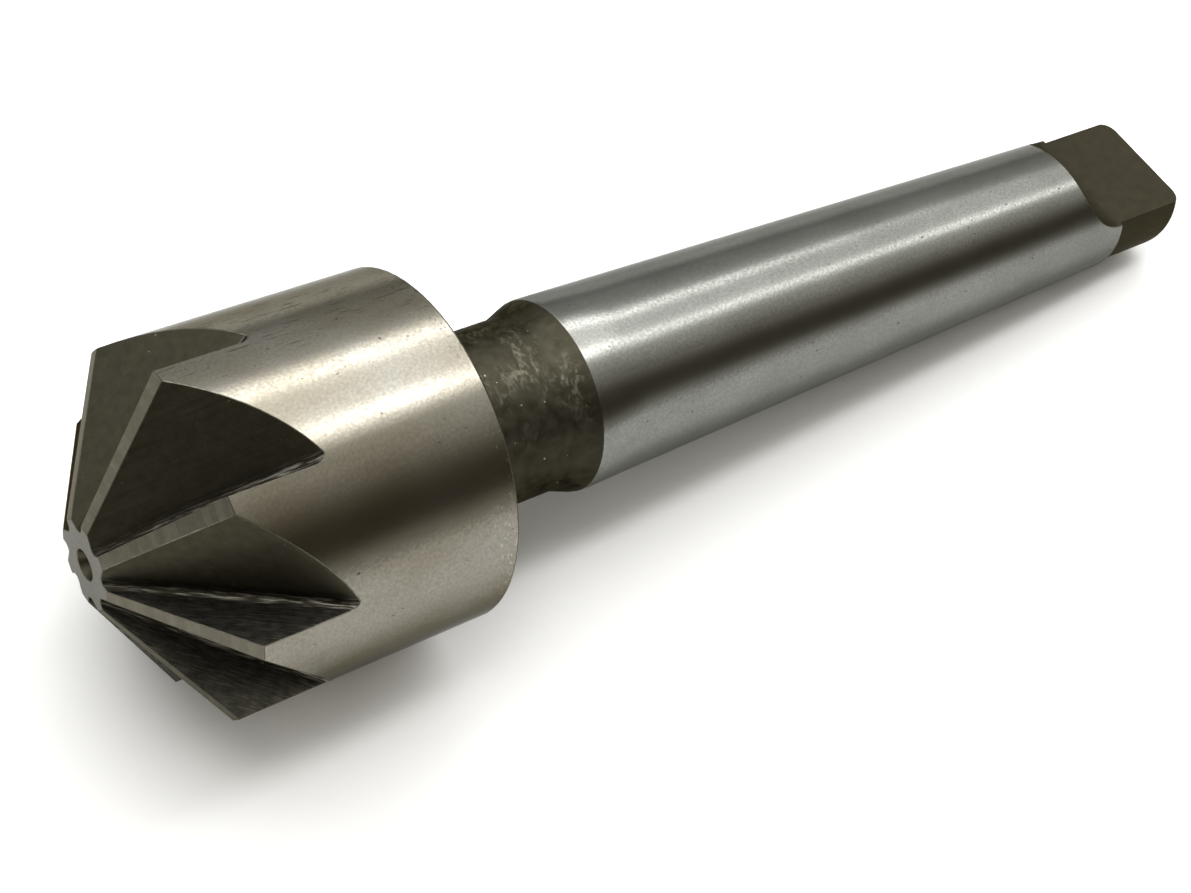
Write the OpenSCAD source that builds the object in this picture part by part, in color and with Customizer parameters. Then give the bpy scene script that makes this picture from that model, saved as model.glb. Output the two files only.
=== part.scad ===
// Countersink with eight straight flutes and a Morse taper 2 shank, turned and
// milled from one bar of high-speed steel. It lies on its side, as it rests on
// a bench: on the back rim of its head and on its shank, just before the tang.

/* [Cutting head] */
// Diameter of the head
head_d = 31.5; // [26:0.1:36]
// Length of the head, from the tip face to its back face
head_l = 30.3; // [22:0.1:34]
// Included angle of the cutting cone, in degrees
point_angle = 120; // [100:1:130]
// Diameter of the flat at the tip, measured over the lands
tip_d = 7.6; // [6.8:0.1:9]
// Bevel that breaks the back rim
rim_break = 0.2; // [0.1:0.05:0.6]

/* [Flutes] */
// Number of flutes
flute_count = 8; // [4:1:8]
// Angle between the rake face and the back face, in degrees
flute_angle = 74.5; // [60:0.5:76]
// Angle between the root of a flute and the axis, in degrees
root_slope = 40; // [36:0.5:46]
// Distance from the axis to the root at the tip face
root_start = 2.7; // [2.2:0.05:3.2]
// Radius in the root
root_fillet = 0.6; // [0.3:0.05:1]
// Turn of the first rake face against the tang flats, in degrees
flute_turn = -19.3; // [-40:0.1:40]

/* [Neck] */
// Diameter of the neck
neck_d = 16.1; // [14:0.1:17]
// Fillet between the neck and the back of the head
neck_fillet = 1; // [0.5:0.1:2]
// Slope of the flare from the neck up to the shank, in degrees
flare_slope = 20; // [14:1:30]
// Radius at the foot of the flare
flare_foot = 1; // [0.5:0.1:3]
// Radius at the top of the flare
flare_top = 2; // [0.5:0.1:3]

/* [Taper shank] */
// Length of the whole tool
overall_l = 124; // [118:0.5:140]
// Length of the shank, from the flare to the end of the tang
shank_l = 79.5; // [76:0.5:82]
// Diameter of the taper at its gauge plane
gauge_d = 17.78; // [17.3:0.01:18.4]
// Distance from the gauge plane to the end of the tang
gauge_l = 75; // [70:0.5:78]
// Length in which the taper's diameter shrinks by 1
taper_run = 20.02; // [18:0.01:24]

/* [Tang] */
// Thickness of the tang over its flats
tang_t = 6.3; // [5:0.1:8]
// Length of the flats at their full depth
tang_l = 10; // [7:0.5:13]
// Diameter of the tang's round sides
tang_d = 13.9; // [12:0.1:14.2]
// Radius of the run-out at the inner end of each flat
runout_r = 6; // [5:0.5:9]
// Rounding of the tang's end
tang_round = 1.4; // [0.5:0.1:2.5]

/* [Centre holes] */
// Pilot diameter of the centre hole in the tip
tip_pilot_d = 1.25; // [1:0.05:1.6]
// Mouth diameter of the centre hole in the tip
tip_mouth_d = 2.65; // [2:0.05:3.4]
// Depth of the centre hole in the tip, up to its drill point
tip_centre_l = 2.6; // [2.2:0.1:4]
// Pilot diameter of the centre hole in the tang
tang_pilot_d = 1.6; // [1.2:0.05:2]
// Mouth diameter of the centre hole in the tang
tang_mouth_d = 3.35; // [2.6:0.05:4]
// Depth of the centre hole in the tang, up to its drill point
tang_centre_l = 3.3; // [2.8:0.1:5]
// Included angle of both centres' seats, in degrees
centre_angle = 60; // [60:30:90]

/* [Hidden] */
$fn = 96;

head_r = head_d / 2;
tip_r = tip_d / 2;
neck_r = neck_d / 2;
tang_r = tang_d / 2;
half_t = tang_t / 2;
cone_l = (head_r - tip_r) / tan(point_angle / 2);

// The taper: its radius at a distance z from the tip face.
gauge_z = overall_l - gauge_l;
function taper_r(z) = gauge_d / 2 - (z - gauge_z) / (2 * taper_run);
shank_z = overall_l - shank_l;
shank_r = taper_r(shank_z);
tang_z = overall_l - tang_l;

// The flare: a round foot, a straight slope and a round top that runs on into
// the taper. The slope touches each arc where it starts and ends.
taper_lean = atan(1 / (2 * taper_run));
top_centre = [shank_r - flare_top * cos(taper_lean), shank_z - flare_top * sin(taper_lean)];
slope_end = top_centre + flare_top * [cos(flare_slope), -sin(flare_slope)];
foot_rise = flare_foot * (1 - cos(flare_slope));
slope_run = (slope_end[0] - neck_r - foot_rise) / tan(flare_slope);
slope_start = [neck_r + foot_rise, slope_end[1] - slope_run];
foot_centre = [neck_r + flare_foot, slope_start[1] - flare_foot * sin(flare_slope)];

// Where the run-out of a flat breaks through the taper, which is the point
// that the shank rests on.
runout_drop = half_t + runout_r - taper_r(tang_z);
runout_l = cos(taper_lean) * (runout_drop * sin(taper_lean)
    + sqrt(runout_r ^ 2 - (runout_drop * cos(taper_lean)) ^ 2));
rest_z = tang_z - runout_l;

// The tool leans until the head's back rim and that point are level.
rim_z = head_l - rim_break;
lean = atan((head_r - taper_r(rest_z)) / (rest_z - rim_z));
rest_lift = head_r * cos(lean) + rim_z * sin(lean);
reach_front = -tip_r * sin(lean);
reach_back = overall_l * cos(lean) + half_t * sin(lean);

// A cutter passes this far beyond what it cuts.
past = 2;
drill_point = 120;

// Half of the tool's outline, radius against distance from the tip face.
module outline() {
    difference() {
        union() {
            polygon([
                [0, 0],
                [tip_r, 0],
                [head_r, cone_l],
                [head_r, rim_z],
                [head_r - rim_break, head_l],
                [neck_r, head_l],
                [neck_r, foot_centre[1]],
                slope_start,
                slope_end,
                [shank_r, shank_z],
                [taper_r(tang_z), tang_z],
                [tang_r, tang_z],
                [tang_r, overall_l],
                [0, overall_l]
            ]);
            neck_corner();
            translate(top_centre)
                circle(flare_top);
        }
        translate(foot_centre)
            circle(flare_foot);
        tang_corner();
    }
}

// What fills the corner between the neck and the back of the head.
module neck_corner() {
    difference() {
        translate([neck_r - past, head_l - past])
            square(past + neck_fillet);
        translate([neck_r + neck_fillet, head_l + neck_fillet])
            circle(neck_fillet);
    }
}

// What is turned off the corner at the end of the tang.
module tang_corner() {
    translate([tang_r - tang_round, overall_l - tang_round])
        difference() {
            square(tang_round + past);
            circle(tang_round);
        }
}

// A flute's section, square to its root: the rake face lies along X, and the
// back face leans away from it below X. Both touch the round root.
module flute_section() {
    seat = root_fillet / tan(flute_angle / 2);
    translate([seat, -root_fillet])
        circle(root_fillet);
    polygon([
        [seat, -root_fillet],
        [seat, 0],
        [head_r, 0],
        [head_r, -head_r * tan(flute_angle)],
        seat * [cos(flute_angle), -sin(flute_angle)]
    ]);
}

// One flute. Its rake face lies in a plane through the axis, and its root
// rises in that plane from the tip until it leaves the side of the head.
module flute() {
    root_l = (head_r - root_start) / sin(root_slope);
    translate([root_start, 0, 0])
        rotate([0, root_slope, 0])
            translate([0, 0, -past])
                linear_extrude(root_l + 2 * past)
                    flute_section();
}

// What the mill takes off one side of the tang: a flat and its run-out.
module tang_cut() {
    width = 2 * (head_r + past);
    rotate([90, 0, 0])
        linear_extrude(width, center = true)
            union() {
                translate([half_t, tang_z])
                    square([head_r, tang_l + past]);
                translate([half_t + runout_r, tang_z])
                    circle(runout_r);
            }
}

// A centre hole: a 60 degree seat, a pilot and the point that the drill left.
module centre_hole(pilot_d, mouth_d, depth) {
    seat_l = (mouth_d - pilot_d) / 2 / tan(centre_angle / 2);
    point_l = pilot_d / 2 / tan(drill_point / 2);
    rotate_extrude()
        polygon([
            [0, -past],
            [mouth_d / 2 + past * tan(centre_angle / 2), -past],
            [pilot_d / 2, seat_l],
            [pilot_d / 2, depth],
            [0, depth + point_l]
        ]);
}

// The tool along Z, with its tip face at zero and its flats square to X. The
// turned faces close on one side, away from what it rests on.
module upright_tool() {
    difference() {
        rotate(90)
            rotate_extrude()
                outline();
        for (i = [0:flute_count - 1])
            rotate(flute_turn + i * 360 / flute_count)
                flute();
        for (side = [0, 180])
            rotate(side)
                tang_cut();
        centre_hole(tip_pilot_d, tip_mouth_d, tip_centre_l);
        translate([0, 0, overall_l])
            rotate([180, 0, 0])
                centre_hole(tang_pilot_d, tang_mouth_d, tang_centre_l);
    }
}

module countersink() {
    color("#8d8a80")
        translate([-(reach_front + reach_back) / 2, 0, rest_lift])
            rotate([0, 90 + lean, 0])
                upright_tool();
}

countersink();
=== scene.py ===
import bpy
import math
from mathutils import Matrix, Vector


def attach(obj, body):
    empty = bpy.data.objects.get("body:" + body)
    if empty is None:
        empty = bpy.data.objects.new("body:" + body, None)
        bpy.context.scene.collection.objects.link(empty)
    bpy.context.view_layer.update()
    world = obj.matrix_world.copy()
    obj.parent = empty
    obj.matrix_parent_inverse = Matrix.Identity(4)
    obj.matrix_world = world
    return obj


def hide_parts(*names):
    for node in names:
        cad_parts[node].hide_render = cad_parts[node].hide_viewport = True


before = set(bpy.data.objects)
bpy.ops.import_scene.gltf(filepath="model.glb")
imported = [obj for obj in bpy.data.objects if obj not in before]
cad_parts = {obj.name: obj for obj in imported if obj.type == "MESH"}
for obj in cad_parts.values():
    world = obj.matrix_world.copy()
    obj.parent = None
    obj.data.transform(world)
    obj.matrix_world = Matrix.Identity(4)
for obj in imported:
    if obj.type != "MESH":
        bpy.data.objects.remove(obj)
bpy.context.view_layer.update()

# The tool's own frame, placed as the part's source places it: Z runs along the
# axis from the tip face, and X points down, square to the tang's flats. In mm
# and degrees.
tool = {
    "tipCentre": (-61.6155, 0.0, 18.8548),
    "lean": 6.0908,
    "pointAngle": 120,
    "headRadius": 15.75,
    "headLength": 30.3,
    "shankStart": 43.2,
    "gaugeRadius": 8.89,
    "gaugeStart": 49.0,
    "taperRun": 20.02,
    "tangStart": 114.0,
}
millimetre = 0.001
toolTurn = math.radians(90 + tool["lean"])
toolToWorld = (
    Matrix.Translation(Vector(tool["tipCentre"]) * millimetre)
    @ Matrix.Rotation(toolTurn, 4, "Y")
)
worldToTool = toolToWorld.inverted()


def linearColour(hexValue):
    parts = [int(hexValue[i:i + 2], 16) / 255 for i in (1, 3, 5)]
    linear = [p / 12.92 if p <= 0.04045 else ((p + 0.055) / 1.055) ** 2.4 for p in parts]
    return (*linear, 1.0)


def addNode(tree, kind, inputs=None, **settings):
    node = tree.nodes.new(kind)
    for name, value in settings.items():
        setattr(node, name, value)
    for socket, value in (inputs or {}).items():
        if isinstance(value, bpy.types.NodeSocket):
            tree.links.new(value, node.inputs[socket])
        else:
            node.inputs[socket].default_value = value
    return node


# A material with the place on it: Object coordinates turned into the tool's own
# frame, in mm.
def newMaterial(name):
    material = bpy.data.materials.new(name)
    material.use_nodes = True
    tree = material.node_tree
    tree.nodes.clear()
    coordinates = addNode(tree, "ShaderNodeTexCoord")
    place = addNode(tree, "ShaderNodeMapping", {
        "Vector": coordinates.outputs["Object"],
        "Location": [c * millimetre for c in tool["tipCentre"]],
        "Rotation": (0, toolTurn, 0),
        "Scale": (millimetre,) * 3,
    }, vector_type="TEXTURE")
    return material, tree, place.outputs["Vector"]


# A cloud of noise whose grains measure size, in mm along the place's X, Y and Z.
# The part of it within spread goes from low to high.
def grain(tree, place, size, low, high, detail=2.0, seed=0.0, spread=(0.35, 0.65), swirl=0.0):
    scaled = addNode(tree, "ShaderNodeVectorMath", {
        0: place,
        1: [1 / s for s in size],
        2: (seed, seed * 1.7, seed * 2.3),
    }, operation="MULTIPLY_ADD")
    noise = addNode(tree, "ShaderNodeTexNoise", {
        "Vector": scaled.outputs[0],
        "Scale": 1.0,
        "Detail": detail,
        "Distortion": swirl,
    })
    return addNode(tree, "ShaderNodeMapRange", {
        "Value": noise.outputs[0],
        "From Min": spread[0],
        "From Max": spread[1],
        "To Min": low,
        "To Max": high,
    }).outputs[0]


# The flutes as the part's source cuts them, in mm and degrees. The root passes
# the axis at rootOffset, measured square to the root.
flutes = {"turn": -19.3, "pitch": 45.0, "rootSlope": 40.0, "rootOffset": 2.07}


# The place folded into one flute: X runs along its root, Y square to the root in
# the rake face, and Z square to the rake face.
def foldIntoFlute(tree, place):
    slack = 0.02  # in radians, so that a rake face never folds over
    parts = addNode(tree, "ShaderNodeSeparateXYZ", {0: place})
    turn = addNode(tree, "ShaderNodeMath", {
        0: parts.outputs[1],
        1: parts.outputs[0],
    }, operation="ARCTAN2")
    turned = addNode(tree, "ShaderNodeMath", {
        0: turn.outputs[0],
        1: math.radians(flutes["turn"]),
    }, operation="SUBTRACT")
    folded = addNode(tree, "ShaderNodeMath", {
        0: turned.outputs[0],
        1: slack,
        2: slack - math.radians(flutes["pitch"]),
    }, operation="WRAP")
    across = addNode(tree, "ShaderNodeCombineXYZ", {0: parts.outputs[0], 1: parts.outputs[1]})
    radius = addNode(tree, "ShaderNodeVectorMath", {0: across.outputs[0]}, operation="LENGTH")
    cosine = addNode(tree, "ShaderNodeMath", {0: folded.outputs[0]}, operation="COSINE")
    sine = addNode(tree, "ShaderNodeMath", {0: folded.outputs[0]}, operation="SINE")
    outward = addNode(tree, "ShaderNodeMath", {
        0: cosine.outputs[0],
        1: radius.outputs["Value"],
    }, operation="MULTIPLY")
    sideways = addNode(tree, "ShaderNodeMath", {
        0: sine.outputs[0],
        1: radius.outputs["Value"],
    }, operation="MULTIPLY")
    local = addNode(tree, "ShaderNodeCombineXYZ", {
        0: parts.outputs[2],
        1: outward.outputs[0],
        2: sideways.outputs[0],
    })
    return addNode(tree, "ShaderNodeVectorRotate", {
        "Vector": local.outputs[0],
        "Axis": (0.0, 0.0, 1.0),
        "Angle": -math.radians(flutes["rootSlope"]),
    }).outputs[0]


# All finishes are steel: a metal whose bumps are depth deep, in mm, and whose
# glancing reflections are dimmed to the grazing tint.
def finishSteel(tree, colour, roughness, height, depth, grazing):
    bump = addNode(tree, "ShaderNodeBump", {
        "Height": height,
        "Strength": 1.0,
        "Distance": depth * millimetre,
    })
    shader = addNode(tree, "ShaderNodeBsdfPrincipled", {
        "Base Color": colour,
        "Metallic": 1.0,
        "Roughness": roughness,
        "Specular Tint": linearColour(grazing),
        "Normal": bump.outputs[0],
    })
    addNode(tree, "ShaderNodeOutputMaterial", {"Surface": shader.outputs[0]})


# The colours of the marks that several finishes share.
tones = {
    "speckle": "#3a362c",
    "dirtAndShade": "#1c1a16",
    # The flute roots' painted shade.
    "rootShade": "#15130e",
    # The nicks' painted glint.
    "nickGlint": "#c9c6bb",
}

# Towards the head's upper far side, where the ticks lie.
upperFarSide = (-0.85, 0.53, 0.0)


# Short dark ticks along the axis, in one stripe on the head's upper far side.
def addTicks(tree, place, ticks, pits):
    size = (ticks["width"], ticks["width"], ticks["length"])
    marks = grain(tree, place, size, 0.0, ticks["share"], detail=1.0, seed=2.6, spread=(0.65, 0.7))
    towards = addNode(tree, "ShaderNodeVectorMath", {0: place, 1: upperFarSide}, operation="DOT_PRODUCT")
    stripe = addNode(tree, "ShaderNodeMapRange", {
        "Value": towards.outputs["Value"],
        "From Min": ticks["stripeStart"],
        "From Max": ticks["stripeFull"],
    })
    return addNode(tree, "ShaderNodeMath", {
        0: marks,
        1: stripe.outputs[0],
        2: pits,
    }, operation="MULTIPLY_ADD", use_clamp=True).outputs[0]


# Nicks next to the back rim, darker on top of the head and pale on its near side.
# The pale tone on the near side is a painted glint.
def addNicks(tree, place, nicks, colour):
    parts = addNode(tree, "ShaderNodeSeparateXYZ", {0: place})
    nearRim = addNode(tree, "ShaderNodeMapRange", {
        "Value": parts.outputs[2],
        "From Min": nicks["start"],
        "From Max": nicks["full"],
    })
    marks = grain(tree, place, (0.45, 0.45, 0.2), 0.0, nicks["share"], seed=7.9, spread=(0.63, 0.68))
    share = addNode(tree, "ShaderNodeMath", {0: marks, 1: nearRim.outputs[0]}, operation="MULTIPLY")
    towards = addNode(tree, "ShaderNodeVectorMath", {0: place, 1: upperFarSide}, operation="DOT_PRODUCT")
    # Painted glint: the nicks turn pale towards the head's near side.
    glintSide = addNode(tree, "ShaderNodeMapRange", {
        "Value": towards.outputs["Value"],
        "From Min": nicks["darkAbove"],
        "From Max": nicks["glintBelow"],
    })
    tone = addNode(tree, "ShaderNodeMix", {
        0: glintSide.outputs[0],
        6: linearColour(tones["dirtAndShade"]),
        7: linearColour(tones["nickGlint"]),
    }, data_type="RGBA")
    return addNode(tree, "ShaderNodeMix", {
        0: share.outputs[0],
        6: colour,
        7: tone.outputs[2],
    }, data_type="RGBA").outputs[2]


# High-speed steel, ground round the axis: bright enough to show the lamps as soft
# bands, which the wheel's lines stretch a little and a fine speckle breaks up,
# with a dark pit here and there. The wheel's lines are some hundredths of a mm
# apart, and are drawn at lineSpacing so that they show.
def makeGroundSteel(name, finish):
    pitHeight = -8.0  # against the wheel's lines, which are 1 high
    material, tree, place = newMaterial(name)
    lines = grain(tree, place, (9.0, 9.0, finish["lineSpacing"]), 0.0, 1.0, detail=3.0)
    speckle = grain(tree, place, (finish["speckle"],) * 3, 0.0, 1.0,
                    detail=3.0, seed=4.1, spread=(0.3, 0.7))
    clouds = grain(tree, place, (5.0, 5.0, 9.0), 0.0, 1.0, seed=9.2)
    base = addNode(tree, "ShaderNodeMix", {
        0: clouds,
        6: linearColour(finish["dark"]),
        7: linearColour(finish["light"]),
    }, data_type="RGBA")
    speckleShare = addNode(tree, "ShaderNodeMath", {
        0: speckle,
        1: finish["speckleDepth"],
    }, operation="MULTIPLY")
    speckled = addNode(tree, "ShaderNodeMix", {
        0: speckleShare.outputs[0],
        6: base.outputs[2],
        7: linearColour(tones["speckle"]),
    }, data_type="RGBA")
    dirtAndShade = grain(tree, place, (0.4, 0.4, 0.6), 0.0, finish["pits"],
                 detail=1.0, seed=6.7, spread=(0.75, 0.79))
    if "ticks" in finish:
        dirtAndShade = addTicks(tree, place, finish["ticks"], dirtAndShade)
    colour = addNode(tree, "ShaderNodeMix", {
        0: dirtAndShade,
        6: speckled.outputs[2],
        7: linearColour(tones["dirtAndShade"]),
    }, data_type="RGBA").outputs[2]
    if "nicks" in finish:
        colour = addNicks(tree, place, finish["nicks"], colour)
    roughness = addNode(tree, "ShaderNodeMath", {
        0: speckle,
        1: finish["roughnessSpread"],
        2: finish["roughness"],
    }, operation="MULTIPLY_ADD")
    ground = addNode(tree, "ShaderNodeMath", {
        0: speckle,
        1: finish["speckleHeight"],
        2: lines,
    }, operation="MULTIPLY_ADD")
    height = addNode(tree, "ShaderNodeMath", {
        0: dirtAndShade,
        1: pitHeight,
        2: ground.outputs[0],
    }, operation="MULTIPLY_ADD")
    finishSteel(tree, colour, roughness.outputs[0], height.outputs[0],
                finish["lineDepth"], finish["grazing"])
    return material


# The head is ground brightest, and has a warm tint and the marks of handling, with painted glints on some
# nicks.
groundHead = makeGroundSteel("groundSteelHead", {
    "light": "#89867e",
    "dark": "#7e796d",
    "lineSpacing": 0.3,
    "lineDepth": 0.0006,
    "speckle": 0.26,
    "speckleDepth": 0.3,
    "speckleHeight": 2.4,
    "pits": 0.7,
    "ticks": {"share": 0.75, "width": 0.16, "length": 2.5, "stripeStart": 13.8, "stripeFull": 15.2},
    "nicks": {"share": 0.6, "start": 27.4, "full": 29.9, "darkAbove": 9.5, "glintBelow": 6.0},
    "roughness": 0.17,
    "roughnessSpread": 0.06,
    "grazing": "#a4a39e",
})

# The tip face is faced off, not ground round: an even, flat grey.
groundTip = makeGroundSteel("groundSteelTip", {
    "light": "#828280",
    "dark": "#7e7e7b",
    "lineSpacing": 3.0,
    "lineDepth": 0.0004,
    "speckle": 0.3,
    "speckleDepth": 0.1,
    "speckleHeight": 1.0,
    "pits": 0.3,
    "roughness": 0.3,
    "roughnessSpread": 0.05,
    "grazing": "#b4b2ac",
})

# The taper is ground finer and deeper than the head: a cold grey, with lines that
# fray the lamps' bands.
groundShank = makeGroundSteel("groundSteelShank", {
    "light": "#7f807c",
    "dark": "#777874",
    "lineSpacing": 0.16,
    "lineDepth": 0.0011,
    "speckle": 0.24,
    "speckleDepth": 0.32,
    "speckleHeight": 1.6,
    "pits": 0.7,
    "roughness": 0.2,
    "roughnessSpread": 0.05,
    "grazing": "#b0b1af",
})

# Edges worn by handling: dull, darker than the faces, and a pale thread where a
# lamp catches them.
edgeSteel = makeGroundSteel("wornSteelEdges", {
    "light": "#74726a",
    "dark": "#55534b",
    "lineSpacing": 0.5,
    "lineDepth": 0.001,
    "speckle": 0.5,
    "speckleDepth": 0.6,
    "speckleHeight": 1.0,
    "pits": 0.0,
    "roughness": 0.3,
    "roughnessSpread": 0.1,
    "grazing": "#b4b2ac",
})


# Steel left black by the furnace: nearly matt, olive brown and mottled, rubbed
# through to paler metal in cloudy patches kept to the lit top, partly a painted sheen, with a few pale
# specks.
def makeBlackenedSteel(name, finish):
    rubsOnLitTop = {"start": -4.0, "full": -7.0}  # along X, which points down
    material, tree, place = newMaterial(name)
    mottle = grain(tree, place, (1.1, 1.1, 1.1), 0.0, 1.0, detail=5.0, spread=(0.3, 0.7))
    patches = grain(tree, place, (5.0, 5.0, 3.5), 0.0, 1.0, seed=8.8, spread=(0.42, 0.6))
    scratches = grain(tree, place, finish["scratchSize"], 0.0, finish["scratches"],
                      detail=6.0, seed=5.5, spread=(0.49, 0.68), swirl=0.9)
    specks = grain(tree, place, (0.45, 0.45, 0.45), 0.0, finish["specks"],
                   detail=1.0, seed=1.9, spread=(0.77, 0.8))
    base = addNode(tree, "ShaderNodeMix", {
        0: mottle,
        6: linearColour(finish["dark"]),
        7: linearColour(finish["light"]),
    }, data_type="RGBA")
    parts = addNode(tree, "ShaderNodeSeparateXYZ", {0: place})
    # Painted sheen: the pale patches and scratches are kept to the lit top.
    litTop = addNode(tree, "ShaderNodeMapRange", {
        "Value": parts.outputs[0],
        "From Min": rubsOnLitTop["start"],
        "From Max": rubsOnLitTop["full"],
    })
    litTopPatches = addNode(tree, "ShaderNodeMath", {0: patches, 1: litTop.outputs[0]}, operation="MULTIPLY")
    bareShare = addNode(tree, "ShaderNodeMath", {
        0: scratches,
        1: litTopPatches.outputs[0],
        2: specks,
    }, operation="MULTIPLY_ADD", use_clamp=True)
    colour = addNode(tree, "ShaderNodeMix", {
        0: bareShare.outputs[0],
        6: base.outputs[2],
        7: linearColour(finish["bare"]),
    }, data_type="RGBA")
    roughness = addNode(tree, "ShaderNodeMath", {
        0: mottle,
        1: finish["roughnessSpread"],
        2: finish["roughness"],
    }, operation="MULTIPLY_ADD")
    finishSteel(tree, colour.outputs[2], roughness.outputs[0], mottle, finish["depth"], finish["grazing"])
    return material


neckSteel = makeBlackenedSteel("blackenedSteelNeck", {
    "dark": "#2e2c24",
    "light": "#403e34",
    "bare": "#8f8b7d",
    "scratchSize": (1.0, 1.0, 0.6),
    "scratches": 0.34,
    "specks": 0.9,
    "roughness": 0.46,
    "roughnessSpread": 0.1,
    "depth": 0.0012,
    "grazing": "#9b9a96",
})

# The tang is the plainest: one even olive brown, hardly rubbed.
tangSteel = makeBlackenedSteel("blackenedSteelTang", {
    "dark": "#322f27",
    "light": "#38352b",
    "bare": "#8a8678",
    "scratchSize": (0.8, 0.8, 0.8),
    "scratches": 0.07,
    "specks": 0.0,
    "roughness": 0.45,
    "roughnessSpread": 0.1,
    "depth": 0.004,
    "grazing": "#b8b6b0",
})


# Milled steel, blackened after: dark and slightly glossy, with fine lines along
# each flute's root, a painted shade in the root, and broken pale marks where chips and the
# cutter's corner rubbed, partly a painted highlight on the root's round. The cutter's lines are under 0.1
# mm apart, and are drawn
# 0.22 mm apart so that they show.
def makeFluteSteel(name, finish):
    rootShade = {"start": 1.1, "full": 0.6, "share": 0.7, "roughness": 0.2}  # by distance from the root
    scuffsAlong = {"start": 2.0, "full": 16.0}  # along the root
    mottleHeight = 0.6  # against the cutter's lines, which are 1 high
    material, tree, place = newMaterial(name)
    local = foldIntoFlute(tree, place)
    mottle = grain(tree, place, (0.8, 0.8, 0.8), 0.0, 1.0, detail=5.0, spread=(0.3, 0.7))
    lines = grain(tree, local, (7.0, 0.22, 0.22), 0.0, 1.0, detail=4.0, seed=3.7, spread=(0.3, 0.7))
    base = addNode(tree, "ShaderNodeMix", {
        0: mottle,
        6: linearColour(finish["dark"]),
        7: linearColour(finish["light"]),
    }, data_type="RGBA")
    parts = addNode(tree, "ShaderNodeSeparateXYZ", {0: local})
    offRoot = addNode(tree, "ShaderNodeMath", {
        0: parts.outputs[1],
        1: flutes["rootOffset"],
    }, operation="SUBTRACT")
    acrossRoot = addNode(tree, "ShaderNodeCombineXYZ", {0: offRoot.outputs[0], 1: parts.outputs[2]})
    fromRoot = addNode(tree, "ShaderNodeVectorMath", {0: acrossRoot.outputs[0]}, operation="LENGTH")
    # The pale marks are strongest at the root and towards the rim: worn scuffs, and on the root's round
    # partly a painted highlight.
    rootScuffsAndGlint = addNode(tree, "ShaderNodeMapRange", {
        "Value": fromRoot.outputs["Value"],
        "From Min": finish["scuffWidth"],
        "From Max": finish["scuffWidth"] / 3,
        "To Max": finish["scuffs"],
    })
    towardsRim = addNode(tree, "ShaderNodeMapRange", {
        "Value": parts.outputs[0],
        "From Min": scuffsAlong["start"],
        "From Max": scuffsAlong["full"],
        "To Min": finish["scuffsAtTip"],
        "To Max": 1.0,
    })
    broken = grain(tree, local, (1.6, 0.15, 0.15), 0.0, 1.0, detail=3.0, seed=6.1, spread=(0.47, 0.68))
    scuffsAndGlintShare = addNode(tree, "ShaderNodeMath", {
        0: rootScuffsAndGlint.outputs[0],
        1: towardsRim.outputs[0],
    }, operation="MULTIPLY")
    scuffs = addNode(tree, "ShaderNodeMath", {0: scuffsAndGlintShare.outputs[0], 1: broken}, operation="MULTIPLY")
    specks = grain(tree, place, (0.4, 0.4, 0.4), 0.0, 0.3, detail=1.0, seed=1.9, spread=(0.78, 0.82))
    bareShare = addNode(tree, "ShaderNodeMath", {
        0: scuffs.outputs[0],
        1: specks,
    }, operation="ADD", use_clamp=True)
    # Painted shade in the root: a darker colour, and a rougher surface, towards the crease.
    dirtAndShade = addNode(tree, "ShaderNodeMapRange", {
        "Value": fromRoot.outputs["Value"],
        "From Min": rootShade["start"],
        "From Max": rootShade["full"],
        "To Max": rootShade["share"],
    })
    rootShaded = addNode(tree, "ShaderNodeMix", {
        0: dirtAndShade.outputs[0],
        6: base.outputs[2],
        7: linearColour(tones["rootShade"]),
    }, data_type="RGBA")
    colour = addNode(tree, "ShaderNodeMix", {
        0: bareShare.outputs[0],
        6: rootShaded.outputs[2],
        7: linearColour(finish["bare"]),
    }, data_type="RGBA")
    milled = addNode(tree, "ShaderNodeMath", {
        0: lines,
        1: finish["roughnessSpread"],
        2: finish["roughness"],
    }, operation="MULTIPLY_ADD")
    roughness = addNode(tree, "ShaderNodeMath", {
        0: dirtAndShade.outputs[0],
        1: rootShade["roughness"],
        2: milled.outputs[0],
    }, operation="MULTIPLY_ADD")
    height = addNode(tree, "ShaderNodeMath", {
        0: mottle,
        1: mottleHeight,
        2: lines,
    }, operation="MULTIPLY_ADD")
    finishSteel(tree, colour.outputs[2], roughness.outputs[0], height.outputs[0],
                finish["depth"], finish["grazing"])
    return material


fluteSteel = makeFluteSteel("blackenedSteelFlutes", {
    "dark": "#3c3a30",
    "light": "#454238",
    "bare": "#a8a499",
    "scuffWidth": 1.1,
    "scuffs": 0.5,
    "scuffsAtTip": 0.35,
    "roughness": 0.34,
    "roughnessSpread": 0.1,
    "depth": 0.0015,
    "grazing": "#9b9a96",
})

# The chips slide over the rake faces, which are greyer and rubbed all over.
rakeSteel = makeFluteSteel("scuffedSteelRakes", {
    "dark": "#3a3933",
    "light": "#54534c",
    "bare": "#b0aca2",
    "scuffWidth": 9.0,
    "scuffs": 0.2,
    "scuffsAtTip": 0.9,
    "roughness": 0.36,
    "roughnessSpread": 0.1,
    "depth": 0.003,
    "grazing": "#9b9a96",
})


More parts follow.
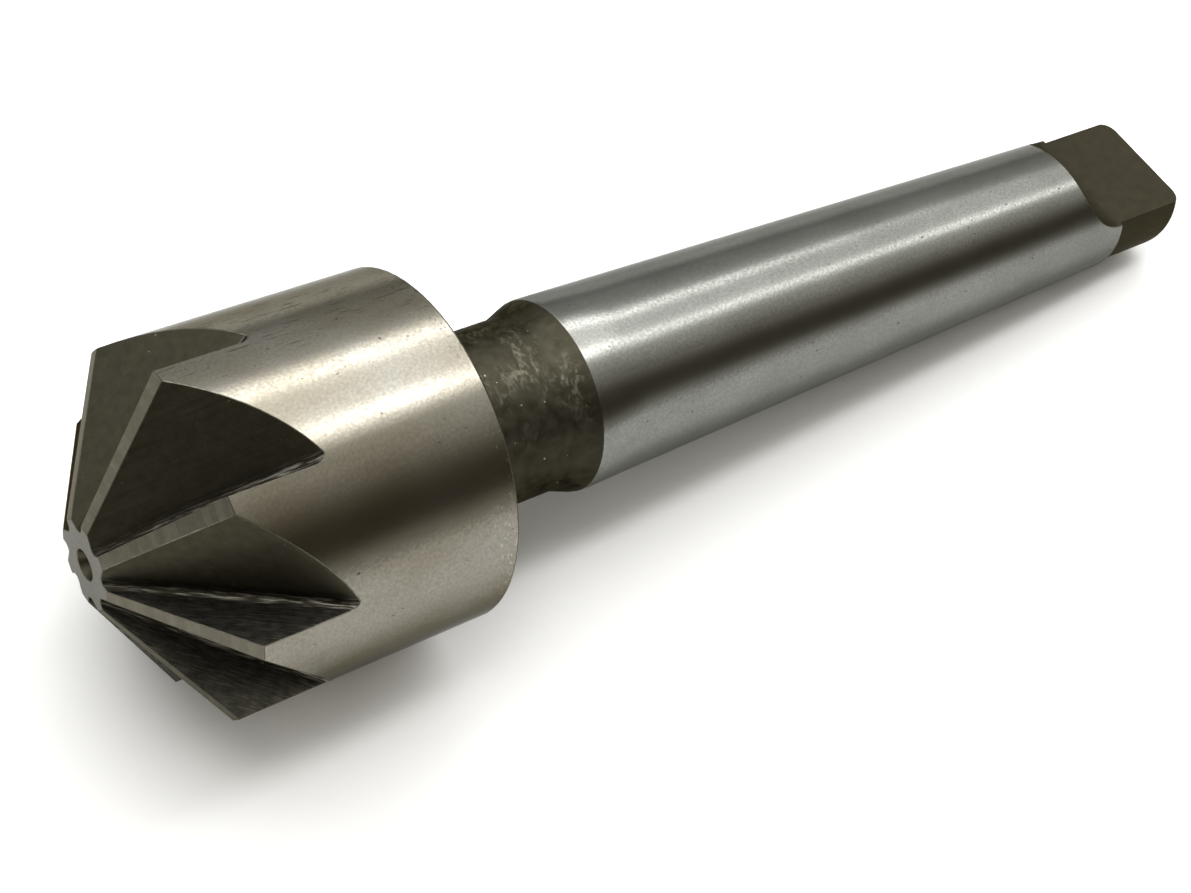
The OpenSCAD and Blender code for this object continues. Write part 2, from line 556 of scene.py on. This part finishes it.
# Lands ground across: a soft, pale grey, with the wheel's chatter in bands and
# its lines between them. The lines are drawn 0.16 mm apart so that they show.
def makeLandSteel(name, finish):
    bandHeight = 3.0  # against the lines, which are 1 high
    material, tree, place = newMaterial(name)
    parts = addNode(tree, "ShaderNodeSeparateXYZ", {0: place})
    across = addNode(tree, "ShaderNodeCombineXYZ", {0: parts.outputs[0], 1: parts.outputs[1]})
    radius = addNode(tree, "ShaderNodeVectorMath", {0: across.outputs[0]}, operation="LENGTH")
    outwards = addNode(tree, "ShaderNodeCombineXYZ", {0: radius.outputs["Value"]}).outputs[0]
    bands = grain(tree, outwards, (finish["bandSpacing"], 1.0, 1.0), 0.0, 1.0,
                  detail=0.6, seed=2.2, spread=(0.38, 0.6))
    lines = grain(tree, outwards, (finish["lineSpacing"], 1.0, 1.0), 0.0, 1.0, seed=5.1)
    shade = addNode(tree, "ShaderNodeMix", {0: finish["lineShare"], 2: bands, 3: lines})
    speckle = grain(tree, place, (0.4, 0.4, 0.4), 0.0, 1.0, detail=3.0, seed=4.1, spread=(0.3, 0.7))
    banded = addNode(tree, "ShaderNodeMix", {
        0: shade.outputs[0],
        6: linearColour(finish["dark"]),
        7: linearColour(finish["light"]),
    }, data_type="RGBA")
    speckleShare = addNode(tree, "ShaderNodeMath", {
        0: speckle,
        1: finish["speckleDepth"],
    }, operation="MULTIPLY")
    colour = addNode(tree, "ShaderNodeMix", {
        0: speckleShare.outputs[0],
        6: banded.outputs[2],
        7: linearColour(tones["speckle"]),
    }, data_type="RGBA")
    roughness = addNode(tree, "ShaderNodeMath", {
        0: bands,
        1: finish["roughnessSpread"],
        2: finish["roughness"],
    }, operation="MULTIPLY_ADD")
    height = addNode(tree, "ShaderNodeMath", {0: bands, 1: bandHeight, 2: lines}, operation="MULTIPLY_ADD")
    finishSteel(tree, colour.outputs[2], roughness.outputs[0], height.outputs[0],
                finish["depth"], finish["grazing"])
    return material


landSteel = makeLandSteel("groundSteelLands", {
    "dark": "#5e5b51",
    "light": "#6c695e",
    "bandSpacing": 0.95,
    "lineSpacing": 0.16,
    "lineShare": 0.35,
    "speckleDepth": 0.2,
    "roughness": 0.32,
    "roughnessSpread": 0.06,
    "depth": 0.0015,
    "grazing": "#c0beb8",
})

# A material slot for each region of the tool.
materials = {
    "head": groundHead,
    "lands": landSteel,
    "tip": groundTip,
    "flutes": fluteSteel,
    "rakes": rakeSteel,
    "neck": neckSteel,
    "shank": groundShank,
    "tang": tangSteel,
    "edges": edgeSteel,
}
slotOf = {name: index for index, name in enumerate(materials)}
print("materials made")


# Which finish a face has, by its centre and normal in the tool's frame. A face's
# centre lies a little inside the round that the face is part of, and its normal
# is a little off, so each test leaves some room.
def regionOf(centre, normal):
    radius = math.hypot(centre.x, centre.y)
    outward = (normal.x * centre.x + normal.y * centre.y) / max(radius, 1e-6)
    halfPoint = math.radians(tool["pointAngle"] / 2)
    onCone = math.cos(halfPoint) * outward - math.sin(halfPoint) * normal.z
    if centre.z < 0.02 and normal.z < -0.99:
        return "tip"
    if radius < 1.6 and centre.z < 5:
        return "flutes"  # the centre hole in the tip
    if centre.z < tool["headLength"] - 0.15:
        if onCone > 0.998:
            return "lands"
        if abs(normal.z) < 0.02 and outward < 0.5:
            return "rakes"
        return "head" if outward > 0.995 and radius > tool["headRadius"] - 0.25 else "flutes"
    if centre.z < tool["headLength"] + 0.05:
        return "neck" if normal.z > 0.9 else "edges"  # the back face, and the bevel on its rim
    if centre.z < tool["shankStart"]:
        return "neck"
    taper = tool["gaugeRadius"] - (centre.z - tool["gaugeStart"]) / tool["taperRun"] / 2
    onTaper = centre.z < tool["tangStart"] and abs(radius - taper) < 0.12 and outward > 0.985
    return "shank" if onTaper else "tang"


# The visible tool: a copy of the solid's mesh with its doubles merged and its
# sharp edges eased. Lengths in mm, angles in degrees.
easing = {
    "merge": 0.05,
    "flat": 0.2,
    "sharp": 24,
    "width": 0.06,
}
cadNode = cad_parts["countersink"]
bpy.ops.object.select_all(action="DESELECT")
body = bpy.data.objects.new("steelCountersink", cadNode.data.copy())
bpy.context.collection.objects.link(body)
bpy.context.view_layer.objects.active = body
body.select_set(True)
body.data.materials.clear()
for material in materials.values():
    body.data.materials.append(material)

bpy.ops.object.mode_set(mode="EDIT")
bpy.ops.mesh.select_all(action="SELECT")
bpy.ops.mesh.customdata_custom_splitnormals_clear()
bpy.ops.mesh.remove_doubles(threshold=easing["merge"] * millimetre)
bpy.ops.mesh.dissolve_degenerate(threshold=easing["merge"] * millimetre / 2)
bpy.ops.mesh.dissolve_limited(angle_limit=math.radians(easing["flat"]))
bpy.ops.object.mode_set(mode="OBJECT")
for face in body.data.polygons:
    centre = worldToTool @ face.center / millimetre
    normal = worldToTool.to_3x3() @ face.normal
    face.material_index = slotOf[regionOf(centre, normal)]

bpy.ops.object.mode_set(mode="EDIT")
bpy.ops.mesh.select_all(action="DESELECT")
bpy.ops.mesh.select_mode(type="EDGE")
bpy.ops.mesh.edges_select_sharp(sharpness=math.radians(easing["sharp"]))
bpy.ops.mesh.bevel(offset=easing["width"] * millimetre, segments=1, affect="EDGES",
                   clamp_overlap=False, material=slotOf["edges"])
bpy.ops.object.mode_set(mode="OBJECT")
for face in body.data.polygons:
    face.use_smooth = True
    # The tang's edges went black in the furnace like its faces.
    onTang = (worldToTool @ face.center).z > tool["tangStart"] * millimetre
    if onTang and face.material_index == slotOf["edges"]:
        face.material_index = slotOf["tang"]

# The solid's own normals, taken at the nearest point, keep flats flat and rounds
# round right up to the eased edges.
transfer = body.modifiers.new("solidNormals", "DATA_TRANSFER")
transfer.object = cadNode
transfer.use_loop_data = True
transfer.data_types_loops = {"CUSTOM_NORMAL"}
transfer.loop_mapping = "POLYINTERP_NEAREST"
bpy.ops.object.modifier_apply(modifier=transfer.name)
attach(body, "root")
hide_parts("countersink")
print("tool made with", len(body.data.polygons), "faces")

# Matt white paper on the bench, a hair below the tool. Lengths in metres.
floor = {
    "half": 4.0,
    "drop": 0.00001,
    "shade": (0.82, 0.82, 0.82, 1.0),
    "roughness": 0.9,
    "gloss": 0.1,
}
bpy.ops.object.select_all(action="DESELECT")
bpy.ops.mesh.primitive_plane_add(size=2 * floor["half"], location=(0, 0, -floor["drop"]))
floorSheet = bpy.context.object
floorSheet.name = "floorSheet"
floorPaper = bpy.data.materials.new("matPaper")
floorPaper.use_nodes = True
paperShader = floorPaper.node_tree.nodes["Principled BSDF"]
paperShader.inputs["Base Color"].default_value = floor["shade"]
paperShader.inputs["Roughness"].default_value = floor["roughness"]
paperShader.inputs["Specular IOR Level"].default_value = floor["gloss"]
floorSheet.data.materials.append(floorPaper)

# Lamps: side is the angle round the tool from straight up, positive towards the
# camera, and spread the angle that the lamp covers. The ends are in metres for a
# lamp that hangs one metre off, and all move in with the height. Glow is how
# bright a lamp looks, whatever its size.
lamps = {
    "mainPanel": {"side": -16, "spread": 54, "from": -0.45, "to": 0.72, "glow": 2.2},
    "dimPanel": {"side": -16, "spread": 54, "from": 0.72, "to": 1.9, "glow": 1.0},
    "farStrip": {"side": -34, "spread": 9, "from": -0.45, "to": 1.05, "glow": 4.4},
    "nearStrip": {"side": 2, "spread": 9, "from": -0.45, "to": 0.72, "glow": 5.0},
    "dimStrip": {"side": 2, "spread": 9, "from": 0.72, "to": 1.9, "glow": 3.9},
}
lampHeight = 0.75
for name, lamp in lamps.items():
    side = math.radians(lamp["side"])
    light = bpy.data.lights.new(name, "AREA")
    light.shape = "RECTANGLE"
    light.size = lampHeight * (lamp["to"] - lamp["from"])
    light.size_y = 2 * lampHeight * math.tan(math.radians(lamp["spread"] / 2))
    light.energy = lamp["glow"] * math.pi * light.size * light.size_y
    lampObject = bpy.data.objects.new(name, light)
    middle = (lamp["from"] + lamp["to"]) / 2
    lampObject.location = Vector((middle, -math.sin(side), math.cos(side))) * lampHeight
    lampObject.rotation_euler = (side, 0, 0)
    bpy.context.collection.objects.link(lampObject)

# The room: grey walls behind the tool, a dark one behind the camera, and a pale
# bench that goes on to the horizon. Angles as for the lamps. Another dark wall
# stands at the tip's end, where a direction's X falls from tipWallStart on.
room = {
    "glow": 1.25,
    "tipWall": "#4e4a42",
    "tipWallStart": -0.7,
    "tipWallFull": -0.95,
    "round": [
        (-180, "#b0b0ae"),
        (-96, "#9c9c9a"),
        (-86, "#a2a2a0"),
        (-76, "#c8c8c5"),
        (-60, "#d0d0cc"),
        (-48, "#e6e6e2"),
        (12, "#f0f0ea"),
        (27, "#e4e2da"),
        (36, "#b8b4a8"),
        (46, "#827c6e"),
        (57, "#544d40"),
        (75, "#4b4438"),
        (84, "#a8a498"),
        (92, "#d8d5cc"),
        (180, "#b0b0ae"),
    ],
}
world = bpy.data.worlds.new("studioRoom")
bpy.context.scene.world = world
world.use_nodes = True
tree = world.node_tree
tree.nodes.clear()
direction = addNode(tree, "ShaderNodeTexCoord")
parts = addNode(tree, "ShaderNodeSeparateXYZ", {0: direction.outputs["Generated"]})
nearwards = addNode(tree, "ShaderNodeMath", {0: parts.outputs[1], 1: -1.0}, operation="MULTIPLY")
angle = addNode(tree, "ShaderNodeMath", {0: nearwards.outputs[0], 1: parts.outputs[2]}, operation="ARCTAN2")
turn = addNode(tree, "ShaderNodeMapRange", {
    "Value": angle.outputs[0],
    "From Min": -math.pi,
    "From Max": math.pi,
})
ramp = addNode(tree, "ShaderNodeValToRGB", {0: turn.outputs[0]})
for index, (degrees, shade) in enumerate(room["round"]):
    position = (degrees + 180) / 360
    stops = ramp.color_ramp.elements
    stop = stops[0] if index == 0 else stops.new(position)
    stop.position = position
    stop.color = linearColour(shade)
tipSide = addNode(tree, "ShaderNodeMapRange", {
    "Value": parts.outputs[0],
    "From Min": room["tipWallStart"],
    "From Max": room["tipWallFull"],
}, interpolation_type="SMOOTHSTEP")
walls = addNode(tree, "ShaderNodeMix", {
    0: tipSide.outputs[0],
    6: ramp.outputs[0],
    7: linearColour(room["tipWall"]),
}, data_type="RGBA")
background = addNode(tree, "ShaderNodeBackground", {"Color": walls.outputs[2], "Strength": room["glow"]})
addNode(tree, "ShaderNodeOutputWorld", {"Surface": background.outputs[0]})
print("stage made")

# The camera stands where the photograph was taken from. In mm, and its clipping
# in metres.
camera = {
    "place": (-93.7489, -76.1237, 156.1942),
    "right": (0.817947, -0.547500, 0.176654),
    "up": (0.372236, 0.737799, 0.563109),
    "forward": (0.438638, 0.394836, -0.807280),
    "lens": 60.375,
    "sensor": 36.0,
    "clip": (0.01, 50),
}
lensData = bpy.data.cameras.new("photoCamera")
lensData.sensor_fit = "HORIZONTAL"
lensData.sensor_width = camera["sensor"]
lensData.lens = camera["lens"]
lensData.clip_start, lensData.clip_end = camera["clip"]
photoCamera = bpy.data.objects.new("photoCamera", lensData)
bpy.context.collection.objects.link(photoCamera)
backward = [-c for c in camera["forward"]]
axes = Matrix((camera["right"], camera["up"], backward)).transposed().to_4x4()
photoCamera.matrix_world = Matrix.Translation(Vector(camera["place"]) * millimetre) @ axes
bpy.context.scene.camera = photoCamera
bpy.context.scene.view_settings.view_transform = "Standard"
